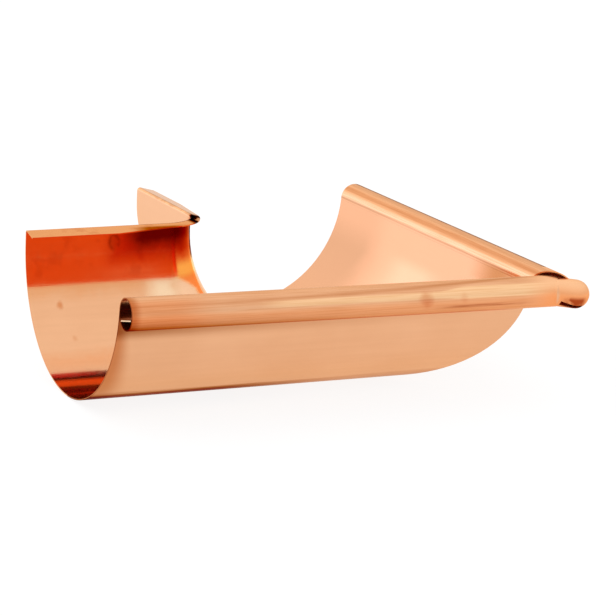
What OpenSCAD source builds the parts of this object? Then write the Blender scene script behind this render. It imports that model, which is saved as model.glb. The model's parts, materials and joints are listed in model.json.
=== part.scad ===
// External angle for a half-round roof gutter: one copper sheet formed round an
// outside corner of 90 degrees. Each arm has a half-round trough, a rolled bead along
// its front edge and an inward fold along its rear edge.
// The section is drawn in a plane of its own: the first coordinate runs from the
// trough's centre line to the rear, the second one runs up.
// The left arm lies along -X and the right arm along +Y. The outer corner points to +X, -Y.

/* [Trough] */
// Inside diameter of the half-round trough
trough_d = 125; // [100:1:170]
// Thickness of the sheet
sheet_t = 0.6; // [0.5:0.05:0.8]

/* [Arms] */
// Length of the left arm, from the trough's outer corner to its open end
left_arm = 223.5; // [200:0.5:300]
// Length of the right arm, from the trough's outer corner to its open end
right_arm = 213; // [200:0.5:300]
// Plan radius of the rounded inner corner, on the side of the house wall
corner_r = 20; // [8:1:26]

/* [Front bead] */
// Outside diameter of the rolled bead
bead_d = 16; // [12:0.5:22]
// Height of the trough's centre line above the centre of the bead
bead_drop = 4.6; // [0:0.2:8]
// How much lower the left arm's bead lies at the corner than at its open end
bead_sag = 2.2; // [1:0.1:3]
// Angle below the horizontal at which the sheet leaves the bead's circle, at its rear
tail_angle = 45; // [30:1:50]
// Slope of the tail, up towards the front
tail_rise = 13; // [0:1:18]
// Inside radius of the bend between the bead and its tail
tail_bend_r = 0.4; // [0.3:0.1:1.5]
// Space between the edge of the tail and the front of the bead
tail_gap = 0.9; // [0.4:0.1:3]

/* [Corner of the bead] */
// How far the rounded nose runs on from the end of the left bead's axis
nose_run = 12.5; // [10:0.5:16]
// How much smaller the nose's radius is than the bead's
nose_step = 0.7; // [0.3:0.1:2]
// Length of the open slot in the front of the left bead, up to the corner
slot_len = 7.5; // [3:0.5:15]
// How far the slot runs on past the corner
slot_past = 2.5; // [0.5:0.5:4]
// Height of the slot
slot_h = 3; // [1:0.2:5]
// Angle of the slot below the front of the bead
slot_angle = 25; // [10:1:50]

/* [Rear edge] */
// Height of the rear rim above the trough's centre line
rear_rise = 7; // [4:0.5:20]
// Flat width of the inward fold along the arms
fold_flat = 8; // [3:0.5:12]
// Part of the fold's flat width that is left round the inner corner
corner_fold_part = 0.48; // [0.3:0.02:0.9]
// Length over which each arm's fold narrows, up to the inner corner
fold_taper_run = 30; // [10:1:50]
// Slope of the fold, down towards the trough
fold_slope = 14; // [0:1:40]
// Inside radius of the fold's bend
fold_bend_r = 1; // [0.5:0.1:2.5]

/* [Hidden] */
$fn = 128;

// Overlap of the bead with the trough's wall
joint_lap = 0.1;
// Height by which the corner's flat lies above the sheet round it, and its overlap
flat_lift = 0.02;
flat_lap = 1;
// Angle by which a bend is carried on into the next stretch of sheet
lap_angle = 10;

trough_r = trough_d / 2;
outer_r = trough_r + sheet_t;
bead_r = bead_d / 2;
hollow_r = bead_r - sheet_t;

// A bead sits on the trough's wall, pressed into it a little so that the two overlap.
bead_reach = trough_r + bead_r - joint_lap;
bead_angle = asin(bead_drop / bead_reach);
bead_x = -bead_reach * cos(bead_angle);
// The left arm's bead comes down along the wall towards the corner.
sag_drop = bead_drop + bead_sag;
sag_x = -bead_reach * cos(asin(sag_drop / bead_reach));

// The tail turns in until it rises towards the front, and ends short of the bead there.
tail_turn = 90 + tail_angle - tail_rise;
tail_mid_r = hollow_r - tail_bend_r;
tail_start = tail_mid_r * sin(tail_turn);
tail_depth = -tail_mid_r * cos(tail_turn) - tail_bend_r;
tail_len = tail_start + sqrt(pow(hollow_r, 2) - pow(tail_depth, 2)) - tail_gap;

// The rear wall rises straight from the trough's centre line to the fold's bend.
rear_wall_h = rear_rise - fold_bend_r - sheet_t;
// Distance from the trough's centre line to the fold's edge, along the arms and at the corner
fold_bend_reach = fold_bend_r + (fold_bend_r + sheet_t) * sin(fold_slope);
fold_edge = trough_r - fold_bend_reach - fold_flat * cos(fold_slope);
fold_taper = fold_flat * cos(fold_slope) * (1 - corner_fold_part);
corner_fold_edge = fold_edge + fold_taper;

// Lengths along the centre lines, from the point where they cross
left_end = left_arm - outer_r;
right_end = right_arm - outer_r;
corner_end = outer_r + corner_r;

// The left bead's axis ends at the corner, and its slope and turn in plan follow.
left_bead_len = left_end - sag_x;
sag_slope = atan(bead_sag / left_bead_len);
sag_turn = atan((sag_x - bead_x) / left_bead_len);

// The nose starts inside the bead's wall, so that nothing of it stands in the hollow.
nose_r = bead_r - nose_step;
nose_start = sqrt(2) * hollow_r - nose_r + sheet_t / 2;
nose_axis_run = nose_run * sqrt(2) / 2;
front_end = max(-bead_x + bead_r, -sag_x + nose_axis_run + nose_r);

// Longer than anything that it cuts
cut_size = 2 * (left_arm + right_arm);
// Angle of one side of the wedges that cut rings into arcs
wedge_step = 60;

copper = [0.85, 0.53, 0.36];

// Part of a ring of sheet, between two angles measured from the first coordinate
module ring_arc(r, from, to) {
    steps = ceil((to - from) / wedge_step);
    rim = 2 * (r + sheet_t);
    sides = [for (i = [0:steps]) from + (to - from) * i / steps];
    intersection() {
        difference() {
            circle(r = r + sheet_t);
            circle(r = r);
        }
        polygon(concat([[0, 0]], [for (a = sides) rim * [cos(a), sin(a)]]));
    }
}

// Rear half of the section: a quarter of the trough, the rear wall and the fold
module rear_section() {
    ring_arc(trough_r, -90, 0);
    translate([trough_r, 0]) square([sheet_t, rear_wall_h]);
    translate([trough_r - fold_bend_r, rear_wall_h]) {
        ring_arc(fold_bend_r, 0, 90 + fold_slope + lap_angle);
        rotate(90 + fold_slope) translate([fold_bend_r, 0]) square([sheet_t, fold_flat]);
    }
}

// Front quarter of the trough
module front_wall() {
    ring_arc(trough_r, 180 + bead_angle, 270);
}

// The bead and its tail, round the bead's own centre
module bead_section() {
    rotate(-tail_angle) {
        ring_arc(hollow_r, tail_angle + bead_angle - lap_angle, 360);
        translate([tail_mid_r, 0]) {
            ring_arc(tail_bend_r, 0, tail_turn + lap_angle);
            rotate(tail_turn) translate([tail_bend_r, 0]) square([sheet_t, tail_len]);
        }
    }
}

// Carries the section from one place to another along the left arm's centre line
module run_along_x(from, to) {
    translate([from, 0, 0]) rotate([90, 0, 90]) linear_extrude(height = to - from) children();
}

// Everything on the far side of the vertical mitre plane
module beyond_mitre() {
    rotate([0, 0, 45]) translate([0, -cut_size / 2, -cut_size / 2]) cube(cut_size);
}

// Everything past the open end of an arm along -X
module beyond_end(end) {
    translate([-end - cut_size, -cut_size / 2, -cut_size / 2]) cube(cut_size);
}

// Carries a section along the left bead's axis, which starts before the open end
module along_left_bead() {
    translate([-left_end, bead_x, -bead_drop]) rotate([0, sag_slope, sag_turn])
        run_along_x(-bead_d, left_bead_len + 2 * bead_d) children();
}

// What stands above the left bead's joint with the wall
module above_left_joint() {
    translate([-left_end, -cut_size, -trough_r * sin(bead_angle)]) rotate([0, sag_slope, 0])
        translate([-bead_d, 0, 0]) cube([left_bead_len + 2 * bead_d, cut_size, bead_d]);
}

// The left arm, along -X: its rear half stops where the rounded corner starts, and its
// front half runs on to the mitre
module left_arm_sheet() {
    run_along_x(-left_end, -corner_end) rear_section();
    difference() {
        union() {
            difference() {
                run_along_x(-left_end, outer_r + bead_d) front_wall();
                above_left_joint();
            }
            along_left_bead() bead_section();
        }
        beyond_mitre();
        beyond_end(left_end);
    }
}

// The right arm, drawn along -X like the left one, with a level bead
module right_arm_sheet() {
    run_along_x(-right_end, -corner_end) rear_section();
    difference() {
        run_along_x(-right_end, outer_r + 2 * bead_d) {
            front_wall();
            translate([bead_x, -bead_drop]) bead_section();
        }
        beyond_mitre();
    }
}

// The rear half of the section carried round the inner corner
module inner_corner() {
    translate([-corner_end, corner_end, 0]) rotate([0, 0, -90])
        rotate_extrude(angle = 90) translate([corner_end, 0]) mirror([1, 0]) rear_section();
}

// Wedge off the edge of the left arm's fold, which makes it narrower towards the corner
module fold_wedge() {
    polygon([
        [-corner_end, corner_fold_edge],
        [-corner_end - 2 * fold_taper_run, corner_fold_edge - 2 * fold_taper],
        [-corner_end, corner_fold_edge - 2 * fold_taper],
    ]);
}

// What is cut off the fold's edge at the inner corner and on both sides of it
module fold_offcut() {
    translate([0, 0, -rear_rise]) linear_extrude(height = 3 * rear_rise) {
        difference() {
            translate([-corner_end, 0]) square(corner_end);
            translate([-corner_end, corner_end]) circle(r = corner_end - corner_fold_edge);
        }
        fold_wedge();
        mirror([1, 1]) fold_wedge();
    }
}

// Flat of the trough's bottom between the rounded corner and the two centre lines. It lies
// a little higher than the sheet round it and runs into that, so that the two overlap.
module corner_flat() {
    translate([0, 0, flat_lift - outer_r]) linear_extrude(height = sheet_t) difference() {
        translate([-corner_end - flat_lap, -flat_lap]) square(corner_end + 2 * flat_lap);
        translate([-corner_end, corner_end]) circle(r = corner_end - flat_lap);
    }
}

// Carries what follows from the end of the left bead's axis out along the mitre
module at_nose() {
    translate([-sag_x, sag_x, -sag_drop]) rotate([0, 90, -45]) children();
}

// A rod along the mitre with a round end
module nose_rod(r, start) {
    at_nose() {
        translate([0, 0, start]) cylinder(r = r, h = nose_run - start);
        translate([0, 0, nose_run]) sphere(r = r);
    }
}

// Open slot in the front of the left bead, next to the nose
module nose_slot() {
    translate([-sag_x, sag_x, -sag_drop]) rotate([slot_angle, 0, 0])
        translate([bead_r - slot_len, -bead_d, -slot_h / 2])
        cube([slot_len + slot_past, bead_d, slot_h]);
}

module gutter_angle() {
    color(copper)
    difference() {
        union() {
            left_arm_sheet();
            mirror([1, 1, 0]) right_arm_sheet();
            inner_corner();
            corner_flat();
            nose_rod(nose_r, nose_start);
        }
        nose_rod(nose_r - sheet_t, 0);
        nose_slot();
        fold_offcut();
    }
}

// The origin lies under the middle of the whole part, at the bottom of the trough.
module placed() {
    translate([(left_end - front_end) / 2, (front_end - right_end) / 2, outer_r]) children();
}

placed() gutter_angle();
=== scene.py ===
import json
import math

import bpy
from mathutils import Matrix, Vector

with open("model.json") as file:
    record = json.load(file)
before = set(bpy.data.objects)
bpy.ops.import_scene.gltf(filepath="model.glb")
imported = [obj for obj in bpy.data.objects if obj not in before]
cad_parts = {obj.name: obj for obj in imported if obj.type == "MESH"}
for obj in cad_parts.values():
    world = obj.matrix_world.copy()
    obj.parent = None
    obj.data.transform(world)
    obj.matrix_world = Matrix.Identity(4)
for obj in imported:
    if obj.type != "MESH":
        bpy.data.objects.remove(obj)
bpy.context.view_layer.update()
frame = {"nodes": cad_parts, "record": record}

# The section's sizes, in metres, as in the part's source
TROUGH_R = 0.0625
SHEET_T = 0.0006
INNER_CORNER_R = 0.020
BEAD_R = 0.008
BEAD_DROP = 0.0046
BEAD_SAG = 0.0022
BEAD_LAP = 0.0001
OUTER_R = TROUGH_R + SHEET_T
# Distance from the crossing of the centre lines to the inner corner's centre, along each arm
CORNER_REACH = OUTER_R + INNER_CORNER_R
# Distance in plan from the trough's centre line to the bead's
BEAD_OUT = math.sqrt((TROUGH_R + BEAD_R - BEAD_LAP) ** 2 - BEAD_DROP ** 2)

# The point where the trough's two centre lines cross, and the left arm's length from there
ends = {mount["name"]: mount["pos_m"] for mount in frame["record"]["mounts"]}
CROSSING = Vector((ends["right_end"][0], ends["left_end"][1], OUTER_R))
LEFT_END = CROSSING.x - ends["left_end"][0]
SAG_SLOPE = BEAD_SAG / (LEFT_END + BEAD_OUT)

# Sockets of a Mix node for each kind of value: the first one, the second one and the result
MIX_SOCKETS = {"FLOAT": (2, 3, 0), "VECTOR": (4, 5, 1), "RGBA": (6, 7, 2)}


class Nodes:
    """Adds shader nodes to a tree and links them."""

    def __init__(self, tree):
        self.tree = tree
        tree.nodes.clear()

    def fill(self, socket, value):
        if isinstance(value, bpy.types.NodeSocket):
            self.tree.links.new(value, socket)
        else:
            socket.default_value = value

    def add(self, kind, inputs=None, **settings):
        node = self.tree.nodes.new(kind)
        for name, value in settings.items():
            setattr(node, name, value)
        for name, value in (inputs or {}).items():
            self.fill(node.inputs[name], value)
        return node

    def math(self, operation, a, b=None, c=None, clamp=False):
        given = {k: v for k, v in ((0, a), (1, b), (2, c)) if v is not None}
        return self.add("ShaderNodeMath", given, operation=operation, use_clamp=clamp).outputs[0]

    def plus(self, a, b):
        return self.math("ADD", a, b)

    def minus(self, a, b):
        return self.math("SUBTRACT", a, b)

    def product(self, first, *others):
        for other in others:
            first = self.math("MULTIPLY", first, other)
        return first

    def most(self, first, *others):
        for other in others:
            first = self.math("MAXIMUM", first, other)
        return first

    def length(self, a, b):
        return self.math("SQRT", self.plus(self.product(a, a), self.product(b, b)))

    def angle(self, up, along):
        """Angle in degrees of a direction in a plane."""
        return self.product(self.math("ARCTAN2", up, along), math.degrees(1.0))

    def off(self, value, middle):
        """Distance from a value, whichever side."""
        return self.math("ABSOLUTE", self.minus(value, middle))

    def ramp(self, value, zero, one, smooth=True):
        """0 at the first limit and before it, 1 at the second one and past it."""
        kind = "SMOOTHSTEP" if smooth else "LINEAR"
        given = {"Value": value, "From Min": min(zero, one), "From Max": max(zero, one)}
        out = self.add("ShaderNodeMapRange", given, interpolation_type=kind).outputs["Result"]
        return self.minus(1.0, out) if zero > one else out

    def band(self, value, low, high, soft):
        """1 between two limits, with soft edges."""
        return self.product(self.ramp(value, low - soft, low + soft),
                            self.ramp(value, high + soft, high - soft))

    def lerp(self, factor, a, b):
        given = {"Value": factor, "To Min": a, "To Max": b}
        return self.add("ShaderNodeMapRange", given).outputs["Result"]

    def mixed(self, kind, factor, a, b, **settings):
        """a where the factor is 0, b where it is 1."""
        first, second, result = MIX_SOCKETS[kind]
        node = self.add("ShaderNodeMix", {0: factor, first: a, second: b}, data_type=kind, **settings)
        return node.outputs[result]

    def mark(self, a, a_mid, b, b_mid, squeeze):
        """Distance from the middle of a round mark, or a narrow one if squeeze is over 1."""
        return self.length(self.product(self.minus(a, a_mid), squeeze), self.minus(b, b_mid))

    def vector(self, x, y, z=0.0):
        return self.add("ShaderNodeCombineXYZ", {"X": x, "Y": y, "Z": z}).outputs["Vector"]

    def noise(self, vector, scale, detail=2.0, rough=0.5):
        given = {"Vector": vector, "Scale": scale, "Detail": detail, "Roughness": rough}
        return self.add("ShaderNodeTexNoise", given).outputs["Fac"]

    def sway(self, texture, width):
        """A texture's value as a shift to both sides."""
        return self.product(self.minus(texture, 0.5), width)

    def bump(self, height):
        """The normal that a height in metres gives."""
        given = {"Height": height, "Strength": 1.0, "Distance": 1.0}
        return self.add("ShaderNodeBump", given).outputs["Normal"]


def arc_to(degrees):
    """Distance down the trough's curve to an angle below its centre line."""
    return math.radians(degrees) * TROUGH_R


class Sheet:
    """Where a point lies on the sheet, in metres and degrees, and the textures that marks follow."""

    def __init__(self, n):
        place = n.add("ShaderNodeTexCoord").outputs["Object"]
        local = n.add("ShaderNodeVectorMath", {0: place, 1: CROSSING}, operation="SUBTRACT")
        xyz = n.add("ShaderNodeSeparateXYZ", {"Vector": local.outputs["Vector"]}).outputs
        # Distances along the two arms from the crossing, and above the trough's centre line
        self.along_left = n.product(xyz["X"], -1.0)
        self.along_right = xyz["Y"]
        self.height = xyz["Z"]
        self.run = n.most(self.along_left, self.along_right)
        self.past_mitre = n.minus(self.along_right, self.along_left)
        self.left = n.math("GREATER_THAN", self.along_left, self.along_right)
        self.right = n.minus(1.0, self.left)
        self.find_section(n)
        self.find_bead(n)
        self.make_textures(n, place)

    def find_section(self, n):
        corner_left = n.most(n.minus(CORNER_REACH, self.along_left), 0.0)
        corner_right = n.most(n.minus(CORNER_REACH, self.along_right), 0.0)
        self.from_corner = n.length(corner_left, corner_right)
        # Angle round the inner corner, from the right arm to the left one
        self.around = n.angle(corner_right, corner_left)
        # Place across the section: negative at the front, positive at the wall
        side = n.math("MINIMUM", self.along_left, self.along_right)
        rounded = n.math("MINIMUM", side, n.minus(CORNER_REACH, self.from_corner))
        self.across = n.mixed("FLOAT", n.ramp(side, 0.0, 0.04), side, rounded)
        self.front = n.math("LESS_THAN", self.across, 0.0)
        self.rear = n.ramp(self.across, 0.02, 0.04)
        # The two faces of the sheet, told apart at the middle of its thickness
        in_straight_wall = n.math("GREATER_THAN", self.height, 0.0)
        reach = n.mixed("FLOAT", in_straight_wall, n.length(self.across, self.height),
                        n.math("ABSOLUTE", self.across))
        self.inside = n.ramp(reach, TROUGH_R + 0.6 * SHEET_T, TROUGH_R + 0.4 * SHEET_T)
        self.outside = n.minus(1.0, self.inside)
        # Distance down the trough's curve from the height of its centre line
        self.arc = n.product(n.math("ARCSINE", n.math("DIVIDE", self.height, -TROUGH_R)), TROUGH_R)
        self.left_wall = n.product(self.rear, self.inside, self.left)

    def find_bead(self, n):
        sag = n.product(n.minus(LEFT_END, self.run), self.left, SAG_SLOPE)
        self.bead_up = n.plus(n.plus(self.height, BEAD_DROP), sag)
        bead_front = n.minus(n.product(self.across, -1.0), BEAD_OUT)
        self.from_bead = n.length(self.bead_up, bead_front)
        # Angle round the bead, from its front up over the top
        self.turn = n.angle(self.bead_up, bead_front)
        not_trough = n.most(self.outside, n.ramp(self.bead_up, 0.0003, 0.0007))
        near = n.ramp(self.from_bead, BEAD_R + 0.0008, BEAD_R + 0.0004)
        self.on_bead = n.product(near, not_trough)
        self.left_bead = n.product(self.on_bead, self.left)
        self.right_bead = n.product(self.on_bead, self.right)

    def make_textures(self, n, place):
        # Rolling lines run along the sheet
        lengthwise = n.vector(n.product(self.run, 3.0), n.product(self.across, 60.0),
                              n.product(self.height, 60.0))
        self.lines = n.noise(lengthwise, 6.0, 4.0, 0.6)
        self.clouds = n.noise(place, 22.0, 3.0, 0.55)
        self.patches = n.noise(place, 90.0, 3.0, 0.6)
        self.fine = n.noise(place, 240.0, 2.0, 0.5)
        self.wander = n.sway(self.patches, 0.010)


class Paint:
    """The sheet's colour, laid on stroke by stroke, and how far it is darkened by dirt and painted shade.
    """

    def __init__(self, n, colour):
        self.n = n
        self.colour = colour
        self.dirt_and_shade = 0.0

    def mix(self, mask, colour):
        """Moves the colour towards another one."""
        self.colour = self.n.mixed("RGBA", mask, self.colour, colour)

    def tint(self, mask, colour):
        """Multiplies the colour by another one."""
        self.colour = self.n.mixed("RGBA", mask, self.colour, colour, blend_type="MULTIPLY")

    def note_dirt_and_shade(self, mask):
        self.dirt_and_shade = self.n.most(mask, self.dirt_and_shade)

    def darken_and_note(self, mask, colour):
        """Tints, and notes the stroke with the dirt and painted shade."""
        self.tint(mask, colour)
        self.note_dirt_and_shade(mask)


def rolled_copper(n, at):
    """The plain sheet: cloudy, with rolling lines, and a little paler on the rear wall's outside."""
    paint = Paint(n, n.mixed("RGBA", at.clouds, (0.83, 0.42, 0.215, 1), (0.95, 0.53, 0.30, 1)))
    paint.mix(n.product(at.lines, 0.35), (0.72, 0.34, 0.17, 1))
    paint.mix(n.product(at.outside, at.rear, 0.7), (0.98, 0.60, 0.40, 1))
    return paint


def right_wall_painted_reflections(n, at, paint):
    """Painted reflections on the inside of the right arm's front wall, down to the trough's bottom."""
    wall = n.product(at.right, at.inside, at.front)
    wall = n.product(wall, n.ramp(at.past_mitre, 0.0, 0.03), n.ramp(at.arc, 0.092, 0.060))
    paint.mix(n.product(wall, 0.8), (0.93, 0.475, 0.305, 1))
    # A painted duller reflection towards the open end, most of all lower down
    wavy = n.plus(at.along_right, n.sway(at.clouds, 0.03))
    painted_dull_reflection = n.product(wall, n.ramp(wavy, 0.080, 0.116), n.lerp(n.ramp(at.arc, 0.010, 0.030), 0.45, 1.0))
    paint.tint(painted_dull_reflection, (0.73, 0.74, 0.69, 1))
    # A painted cream highlight, and a painted brown reflection high up towards the corner
    painted_cream_highlight = n.product(wall, n.band(at.along_right, 0.030, 0.072, 0.014), n.ramp(at.arc, 0.018, 0.027))
    paint.mix(n.product(painted_cream_highlight, 0.8), (1.0, 0.60, 0.40, 1))
    painted_brown_reflection = n.product(wall, n.ramp(at.along_right, 0.002, -0.030), n.band(at.arc, 0.0035, 0.014, 0.002))
    paint.tint(painted_brown_reflection, (0.66, 0.53, 0.36, 1))


def left_bead_painted_light(n, at, paint):
    """Painted highlight in front towards the corner and painted shade below, a duller top near the open
    end, and a painted dark reflection streak on top.
    """
    # A painted highlight band in front, wider towards the corner
    widen = n.ramp(at.along_left, 0.0, -0.020)
    lit_middle = n.lerp(widen, 22.0, 27.0)
    lit_half = n.lerp(widen, 10.0, 21.0)
    past_edge = n.minus(n.off(at.turn, lit_middle), lit_half)
    lit = n.product(at.left_bead, n.ramp(past_edge, 6.0, -2.0), n.ramp(at.along_left, 0.100, 0.075))
    paint.mix(lit, (1.0, 0.62, 0.34, 1))
    # Painted shade on the bead's underside
    painted_bead_underside_shade = n.product(at.left_bead, n.ramp(at.turn, 12.0, -16.0), n.lerp(at.lines, 0.8, 1.1))
    paint.tint(painted_bead_underside_shade, (1.0, 0.82, 0.68, 1))
    # Duller on top near the open end
    duller_top_at_end = n.product(at.left_bead, n.ramp(at.along_left, 0.112, 0.140), n.ramp(at.turn, 75.0, 45.0))
    paint.tint(duller_top_at_end, (1.0, 0.82, 0.70, 1))
    # The painted reflection streak climbs over the top on its way from the open end to the corner
    streak_len, start_turn, climb = 0.212, 38.0, 52.0
    from_end = n.math("DIVIDE", n.minus(LEFT_END, at.along_left), streak_len, clamp=True)
    streak_turn = n.math("MULTIPLY_ADD", n.math("POWER", from_end, 3.0), climb, start_turn)
    painted_reflection_streak = n.ramp(n.off(at.turn, streak_turn), 15.0, 0.0)
    paint.tint(n.product(at.left_bead, painted_reflection_streak, n.lerp(from_end, 0.35, 1.0)), (0.76, 0.60, 0.47, 1))


def right_bead_painted_reflections(n, at, paint):
    """A painted dull reflection stripe and a painted highlight stripe along the side that faces the
    trough.
    """
    painted_dull_stripe = n.product(at.right_bead, n.band(at.turn, 121.0, 141.0, 7.0), n.lerp(at.lines, 0.75, 1.1))
    paint.tint(painted_dull_stripe, (0.74, 0.60, 0.50, 1))
    painted_shine_stripe = n.product(at.right_bead, n.band(at.turn, 150.0, 168.0, 5.0), 0.8)
    paint.mix(painted_shine_stripe, (1.0, 0.66, 0.44, 1))


def drawing_lines(n, at, paint):
    """Fine streaks along both beads."""
    along_bead = n.vector(n.product(at.run, 6.0), n.product(at.turn, 0.05))
    drawn = n.ramp(n.noise(along_bead, 4.0, 3.0, 0.6), 0.42, 0.66)
    paint.tint(n.product(at.on_bead, drawn), (0.90, 0.82, 0.74, 1))


def deeper_bounces(n, at, paint):
    """Copper deepens with every bounce of the light, and more so in the left arm."""
    left_colour, right_colour = (0.86, 0.14, 0.025, 1), (1.0, 0.42, 0.15, 1)
    bounced = Paint(n, n.mixed("RGBA", n.ramp(at.past_mitre, -0.020, 0.040), left_colour, right_colour))
    # Least of all at the rim of the right arm's front
    rim = n.product(at.right, at.front, n.ramp(at.arc, 0.0050, 0.0030))
    bounced.mix(rim, (1.0, 0.72, 0.50, 1))
    paint.mix(n.add("ShaderNodeLightPath").outputs["Is Glossy Ray"], bounced.colour)


def crease_painted_shade(n, at, paint):
    """Painted shade in the crease under the left bead, most of it near the open end. Gives its mask."""
    fade = n.math("POWER", n.ramp(at.along_left, -0.08, 0.165, smooth=False), 1.8)
    painted_shade_under = n.product(at.left_bead, n.ramp(at.turn, 8.0, -66.0))
    painted_shade_below_bead = n.product(at.left, at.outside, n.ramp(at.across, -0.045, -0.052), n.minus(1.0, at.on_bead),
                      n.ramp(at.bead_up, -0.0170, -0.0104))
    painted_crease_shade = n.product(n.most(painted_shade_under, painted_shade_below_bead), n.lerp(at.lines, 0.75, 1.1), fade)
    paint.darken_and_note(painted_crease_shade, (0.50, 0.31, 0.16, 1))
    # The painted shade line that is left of it towards the corner
    painted_crease_line = n.product(at.left_bead, n.band(at.turn, -30.0, -20.0, 5.0),
                     n.band(at.along_left, -0.050, -0.006, 0.010), n.ramp(at.lines, 0.30, 0.55))
    paint.tint(painted_crease_line, (0.60, 0.38, 0.30, 1))
    return painted_crease_shade


def outside_marks(n, at, paint):
    """A painted shade line where the left trough's underside turns away, and a duller strip at its cut
    edge.
    """
    wavy = n.plus(at.arc, n.sway(at.lines, 0.010))
    steep = n.ramp(wavy, arc_to(57), arc_to(65))
    fade_along_arm = n.lerp(n.ramp(at.along_left, 0.02, 0.10), 0.35, 1.0)
    paint.darken_and_note(n.product(at.outside, at.left, at.front, steep, fade_along_arm), (0.50, 0.32, 0.23, 1))
    width = n.lerp(n.ramp(at.arc, 0.010, 0.080, smooth=False), 0.006, 0.020)
    from_edge = n.math("DIVIDE", n.minus(LEFT_END, at.run), width)
    strip = n.product(at.left, at.outside, n.ramp(at.across, 0.0, -0.02), n.ramp(from_edge, 1.0, 0.1))
    paint.tint(strip, (0.74, 0.50, 0.34, 1))


def dark_reflection_lines(n, at, paint):
    """Painted dark reflections as thin broken lines on the top of the right bead and along the right
    arm's rear rim.
    """
    colour = (0.30, 0.22, 0.20, 1)
    along = n.vector(n.product(at.run, 14.0), n.product(at.turn, 0.06))
    broken = n.ramp(n.noise(along, 5.0, 4.0, 0.7), 0.32, 0.60)
    painted_top_reflection = n.product(at.right_bead, n.band(at.turn, 71.0, 87.0, 6.0), n.lerp(broken, 0.40, 1.0))
    paint.tint(painted_top_reflection, colour)
    paint.note_dirt_and_shade(n.product(painted_top_reflection, 0.6))
    painted_rim_reflection = n.product(at.right, n.ramp(at.across, 0.0600, 0.0615), n.ramp(at.height, 0.0058, 0.0064),
                         n.ramp(broken, 0.55, 1.0), 0.3)
    paint.tint(painted_rim_reflection, colour)


def left_wall_tones(n, at, paint):
    """The left arm's rear wall: mottled above, with a painted deeper reflection at its middle, and deeper
    low down.
    """
    # A painted deeper reflection band
    middle = n.product(at.left_wall, n.ramp(n.plus(at.arc, at.wander), 0.0330, 0.0190))
    paint.tint(middle, (1.0, 0.84, 0.64, 1))
    mottled = n.product(at.left_wall, n.ramp(at.arc, 0.022, 0.016), n.ramp(at.patches, 0.50, 0.66), 0.5)
    paint.tint(mottled, (0.80, 0.60, 0.50, 1))
    low = n.product(at.left_wall, n.ramp(n.plus(at.arc, at.wander), arc_to(52), arc_to(66)))
    paint.tint(low, (1.0, 0.68, 0.45, 1))


def inner_corner_marks_and_painted_light(n, at, paint):
    """Painted reflections and shade at the soldered inner corner, with a smudge on the fold and a ring on
    the wall. Gives the mask of the painted shade under the fold.
    """
    down = n.plus(at.arc, at.wander)
    along = n.plus(at.along_left, at.wander)
    on_fold = n.product(at.rear, n.ramp(at.across, 0.0617, 0.0611), n.ramp(at.height, 0.0015, 0.0025))
    on_wall = n.product(at.rear, at.inside, n.minus(1.0, on_fold))
    # The rounded wall has painted reflections: deep red at its top and yellow to orange further down
    rounded = n.product(on_wall, n.band(at.around, 12.0, 78.0, 9.0))
    paint.tint(n.product(rounded, n.ramp(down, 0.0135, 0.0075)), (0.88, 0.36, 0.12, 1))
    paint.tint(n.product(rounded, n.ramp(down, 0.0035, -0.0020)), (0.62, 0.16, 0.12, 1))
    paint.mix(n.product(rounded, n.band(at.arc, 0.0145, 0.0225, 0.003)), (1.0, 0.90, 0.44, 1))
    paint.mix(n.product(rounded, n.ramp(at.arc, 0.0200, 0.0260)), (1.0, 0.60, 0.36, 1))
    # Darker high on the rounding, towards the right arm
    outer = n.product(on_wall, n.band(at.around, 12.0, 37.0, 4.0), n.ramp(at.arc, 0.0160, 0.0120))
    paint.darken_and_note(outer, (0.45, 0.35, 0.32, 1))
    # The left arm's wall beside it has a painted deep red reflection, with painted shade under the fold
    painted_red_reflection = n.product(on_wall, n.ramp(down, 0.0170, 0.0060), n.ramp(along, 0.122, 0.106),
                       n.ramp(at.along_left, 0.062, 0.074))
    paint.tint(painted_red_reflection, (0.72, 0.22, 0.15, 1))
    painted_fold_shade = n.product(on_wall, n.ramp(down, 0.0110, 0.0), n.ramp(along, 0.110, 0.096),
                     n.ramp(at.along_left, 0.066, 0.078))
    paint.darken_and_note(painted_fold_shade, (0.25, 0.04, 0.06, 1))
    smudge = n.product(on_fold, n.band(along, 0.076, 0.101, 0.006), n.ramp(at.across, 0.0600, 0.0575))
    paint.darken_and_note(smudge, (0.60, 0.42, 0.30, 1))
    ring_mark(n, at, paint)
    # The fold has painted shade round the corner's rim, and the wall is paler below the painted red
    # reflection
    painted_rim_shade = n.product(at.rear, n.band(at.around, 9.0, 52.0, 6.0), n.ramp(at.height, 0.0024, 0.0034),
                      n.ramp(at.from_corner, 0.0208, 0.0216), n.ramp(at.patches, 0.30, 0.46))
    paint.darken_and_note(painted_rim_shade, (0.15, 0.030, 0.022, 1))
    pale = n.product(at.rear, at.inside, n.band(along, 0.078, 0.094, 0.006),
                     n.band(at.arc, 0.0215, 0.034, 0.005), 0.8)
    paint.mix(pale, (1.0, 0.74, 0.48, 1))
    return painted_fold_shade


def ring_mark(n, at, paint):
    """A ring left on the left arm's wall, with a paler middle."""
    away = n.mark(at.along_left, 0.1122, at.arc, 0.0015, squeeze=1.35)
    away = n.plus(away, n.product(at.wander, 0.45))
    ring = n.product(at.left_wall, n.band(away, 0.0026, 0.0044, 0.0016), n.ramp(at.patches, 0.34, 0.56))
    paint.tint(ring, (0.50, 0.36, 0.30, 1))
    paint.tint(n.product(at.left_wall, n.ramp(away, 0.0030, 0.0008)), (0.84, 0.74, 0.70, 1))


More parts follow.
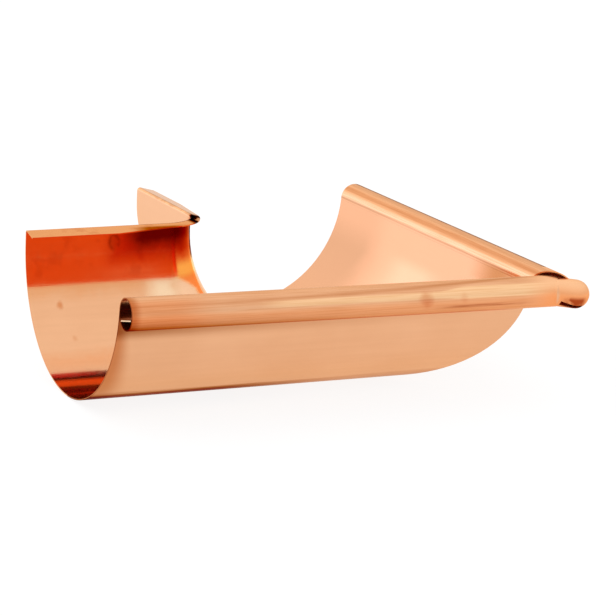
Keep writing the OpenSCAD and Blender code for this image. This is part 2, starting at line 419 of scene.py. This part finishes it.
def stains(n, at, paint):
    """Small round stains on the left arm's rear wall and bead, each with its place and strength."""
    for along, arc, part in ((0.1441, 0.0325, 1.0), (0.1400, 0.0514, 0.5), (0.118, 0.058, 0.5)):
        away = n.mark(at.along_left, along, at.arc, arc, squeeze=1.3)
        away = n.math("MULTIPLY_ADD", at.wander, 0.5, away)
        paint.tint(n.product(at.left_wall, n.ramp(away, 0.0036, 0.0008), part), (0.84, 0.62, 0.46, 1))
    # The bead's stains are placed by its angle, so that is turned into a distance round it
    degree = math.radians(BEAD_R)
    round_bead = n.product(at.turn, degree)
    for along, turn, size, part in ((0.0045, 2.0, 0.0068, 1.0), (-0.0163, 7.1, 0.0046, 0.45)):
        away = n.mark(at.along_left, along, round_bead, turn * degree, squeeze=1.5)
        away = n.math("MULTIPLY_ADD", at.wander, 1.1, away)
        paint.tint(n.product(at.left_bead, n.ramp(away, size, 0.1 * size), part), (0.86, 0.66, 0.58, 1))


def left_cut_end(n, at, paint):
    """The left arm's cut edge, brown in front, with painted shade inside its bead and a painted highlight
    on the tail's edge.
    """
    cut = n.product(at.left, n.ramp(at.run, LEFT_END - 0.0002, LEFT_END - 0.0001))
    hollow = n.product(at.left, n.ramp(at.from_bead, BEAD_R - 0.0007, BEAD_R - 0.0009))
    tail_edge = n.product(hollow, cut)
    # Painted shade inside the bead's hollow, and a painted highlight on the tail's edge
    paint.tint(n.minus(hollow, tail_edge), (0.55, 0.20, 0.16, 1))
    paint.mix(tail_edge, (1.0, 0.74, 0.52, 1))
    paint.tint(n.product(cut, at.front, n.minus(1.0, hollow)), (0.60, 0.36, 0.24, 1))


def nose_tones(n, at, paint):
    """The corner's nose and the bead next to it, with painted shade under the front."""
    nose = n.product(n.ramp(at.along_left, -0.0690, -0.0700), n.ramp(at.along_right, -0.0600, -0.0615))
    nose = n.most(nose, n.product(at.left_bead, n.ramp(at.along_left, -0.0480, -0.0690)))
    paint.mix(n.product(nose, 0.9), (1.0, 0.56, 0.30, 1))
    # A duller hairline where the two beads meet
    on_mitre = n.ramp(n.off(at.along_left, at.along_right), 0.0003, 0.0001)
    paint.tint(n.product(at.on_bead, on_mitre), (0.90, 0.66, 0.48, 1))
    # Painted shade under the nose, darker in patches low down
    painted_shade_under = n.product(nose, n.ramp(at.height, -0.0005, -0.0085))
    paint.tint(painted_shade_under, (0.96, 0.66, 0.46, 1))
    painted_shade_spots = n.product(painted_shade_under, n.band(at.along_left, -0.0810, -0.0720, 0.002),
                      n.ramp(at.height, -0.0060, -0.0088), n.ramp(at.patches, 0.36, 0.52))
    paint.tint(painted_shade_spots, (0.45, 0.18, 0.10, 1))


def roughness(n, at, painted_shade_mask):
    """A mirror inside the trough, satin outside and on the beads, and duller where the crease and the
    fold's underside have painted shade.
    """
    satin, mirror = 0.30, 0.13
    rough = n.mixed("FLOAT", at.inside, satin, mirror)
    # The left wall is clearer low down, and hazy at the lower end of its orange reflection
    low = n.product(at.left_wall, n.ramp(at.arc, arc_to(50), arc_to(60)))
    rough = n.plus(rough, n.product(low, -0.05))
    hazy = n.product(at.left_wall, n.band(at.arc, 0.0135, 0.0195, 0.0035),
                     n.ramp(at.along_left, 0.140, 0.105), n.ramp(at.along_left, 0.080, 0.095))
    rough = n.plus(rough, n.product(hazy, 0.10))
    rough = n.plus(rough, n.sway(at.fine, 0.06))
    return n.plus(rough, n.product(painted_shade_mask, 0.12))


def relief(n, at):
    """The sheet's normal: fine marks, and inside the trough how it departs from a true half round."""
    depth, low_part, lean_arc = 0.0022, 0.18, 0.018
    # The rear wall's curve starts lower than a half round's, and is a little flatter low down
    upper = n.ramp(at.arc, arc_to(7), arc_to(27))
    lower = n.ramp(at.arc, arc_to(60), arc_to(74))
    flatter = n.product(n.math("MULTIPLY_ADD", lower, low_part, upper), -depth)
    # The front wall's top leans out to the bead
    lean = n.most(n.minus(lean_arc, at.arc), 0.0)
    lean = n.math("MULTIPLY_ADD", n.product(lean, lean), -0.5 / TROUGH_R, -depth)
    marks = n.product(n.plus(n.product(at.lines, 0.5), at.clouds), 0.00006)
    curved = n.plus(marks, n.mixed("FLOAT", at.front, flatter, lean))
    in_trough = n.product(at.inside, n.minus(1.0, at.on_bead))
    return n.mixed("VECTOR", in_trough, n.bump(marks), n.bump(curved))


def copper_material():
    """Bright rolled copper with the marks of the work. Places are in metres and turns in degrees."""
    material = bpy.data.materials.new("bright_copper")
    material.use_nodes = True
    n = Nodes(material.node_tree)
    at = Sheet(n)
    paint = rolled_copper(n, at)
    right_wall_painted_reflections(n, at, paint)
    left_bead_painted_light(n, at, paint)
    right_bead_painted_reflections(n, at, paint)
    drawing_lines(n, at, paint)
    deeper_bounces(n, at, paint)
    painted_crease_shade = crease_painted_shade(n, at, paint)
    outside_marks(n, at, paint)
    dark_reflection_lines(n, at, paint)
    left_wall_tones(n, at, paint)
    painted_fold_shade = inner_corner_marks_and_painted_light(n, at, paint)
    stains(n, at, paint)
    left_cut_end(n, at, paint)
    nose_tones(n, at, paint)
    # Clean copper is paler at a low angle, and dirt and painted shade keep their colour
    low_angle = n.mixed("RGBA", paint.dirt_and_shade, (0.97, 0.78, 0.60, 1), paint.colour)
    shader = n.add("ShaderNodeBsdfPrincipled", {
        "Base Color": paint.colour, "Metallic": 1.0, "Specular Tint": low_angle,
        "Roughness": roughness(n, at, n.most(painted_fold_shade, painted_crease_shade)), "Normal": relief(n, at)})
    n.add("ShaderNodeOutputMaterial", {"Surface": shader.outputs["BSDF"]})
    return material


def white_floor():
    """White to the camera and to the metal, and plain pale to the light that it scatters."""
    size, drop = 6.0, 0.0005
    bpy.ops.mesh.primitive_plane_add(size=size, location=(0, 0, -drop))
    floor = bpy.context.object
    floor.name = "floor"
    material = bpy.data.materials.new("white_floor")
    material.use_nodes = True
    n = Nodes(material.node_tree)
    paths = n.add("ShaderNodeLightPath").outputs
    seen = n.most(paths["Is Camera Ray"], paths["Is Glossy Ray"])
    plain = n.add("ShaderNodeBsdfDiffuse", {"Color": (0.8, 0.8, 0.8, 1)})
    # The seen floor is mostly glow, and the rest is lit, so that the shadow stays faint
    faint = n.add("ShaderNodeBsdfDiffuse", {"Color": (0.16, 0.16, 0.16, 1)})
    glow = n.add("ShaderNodeEmission", {"Color": (1, 1, 1, 1), "Strength": 0.88})
    lit = n.add("ShaderNodeAddShader", {0: faint.outputs[0], 1: glow.outputs[0]})
    shown = n.add("ShaderNodeMixShader", {0: seen, 1: plain.outputs[0], 2: lit.outputs[0]})
    n.add("ShaderNodeOutputMaterial", {"Surface": shown.outputs[0]})
    floor.data.materials.append(material)


def world_light():
    """White surroundings, seen by the camera as plain white; metal sees them a little shaded."""
    world = bpy.data.worlds.new("studio")
    bpy.context.scene.world = world
    world.use_nodes = True
    n = Nodes(world.node_tree)
    paths = n.add("ShaderNodeLightPath").outputs
    seen = n.most(paths["Is Camera Ray"], paths["Is Transmission Ray"])
    direction = n.add("ShaderNodeTexCoord").outputs["Generated"]
    way = n.add("ShaderNodeSeparateXYZ", {"Vector": direction}).outputs
    horizon, overhead, extra = 0.88, 1.0, 0.36
    sky = n.lerp(n.ramp(way["Z"], -0.2, 0.9), horizon, overhead)
    # A brighter part at the back left gives the right arm's inside its pale patch
    back_left = n.product(n.ramp(way["Y"], 0.35, 0.65), n.ramp(way["X"], 0.25, -0.05))
    sky = n.plus(sky, n.product(back_left, extra))
    strength = n.mixed("FLOAT", seen, sky, 1.0)
    glow = n.add("ShaderNodeBackground", {"Color": (1, 1, 1, 1), "Strength": strength})
    n.add("ShaderNodeOutputWorld", {"Surface": glow.outputs[0]})


def photo_camera():
    """The photograph's camera, fitted to the outline."""
    focal_px, frame_px, sensor_mm = 2913.7, 616, 36
    yaw, pitch, roll = (math.radians(a) for a in (-26.64, 13.76, 2.98))
    # The camera's place from the crossing, in units of the trough's outer radius
    away, aside, above = 23.622, -0.452, -0.436
    back = Vector((math.sin(yaw) * math.cos(pitch), -math.cos(yaw) * math.cos(pitch), math.sin(pitch)))
    right = Vector((math.cos(yaw), math.sin(yaw), 0))
    up = back.cross(right)
    side = math.cos(roll) * right + math.sin(roll) * up
    top = -math.sin(roll) * right + math.cos(roll) * up
    place = CROSSING + OUTER_R * (away * back + aside * side + above * top)
    data = bpy.data.cameras.new("photo_camera")
    data.sensor_width = sensor_mm
    data.lens = focal_px / frame_px * sensor_mm
    data.clip_start, data.clip_end = 0.01, 30
    camera = bpy.data.objects.new("photo_camera", data)
    bpy.context.scene.collection.objects.link(camera)
    camera.matrix_world = Matrix.Translation(place) @ Matrix((side, top, back)).transposed().to_4x4()
    bpy.context.scene.camera = camera


bpy.context.scene.view_settings.view_transform = "Standard"
photo_camera()
world_light()
white_floor()

gutter_angle = frame["nodes"]["gutter_angle"]
gutter_angle.data.materials.clear()
gutter_angle.data.materials.append(copper_material())
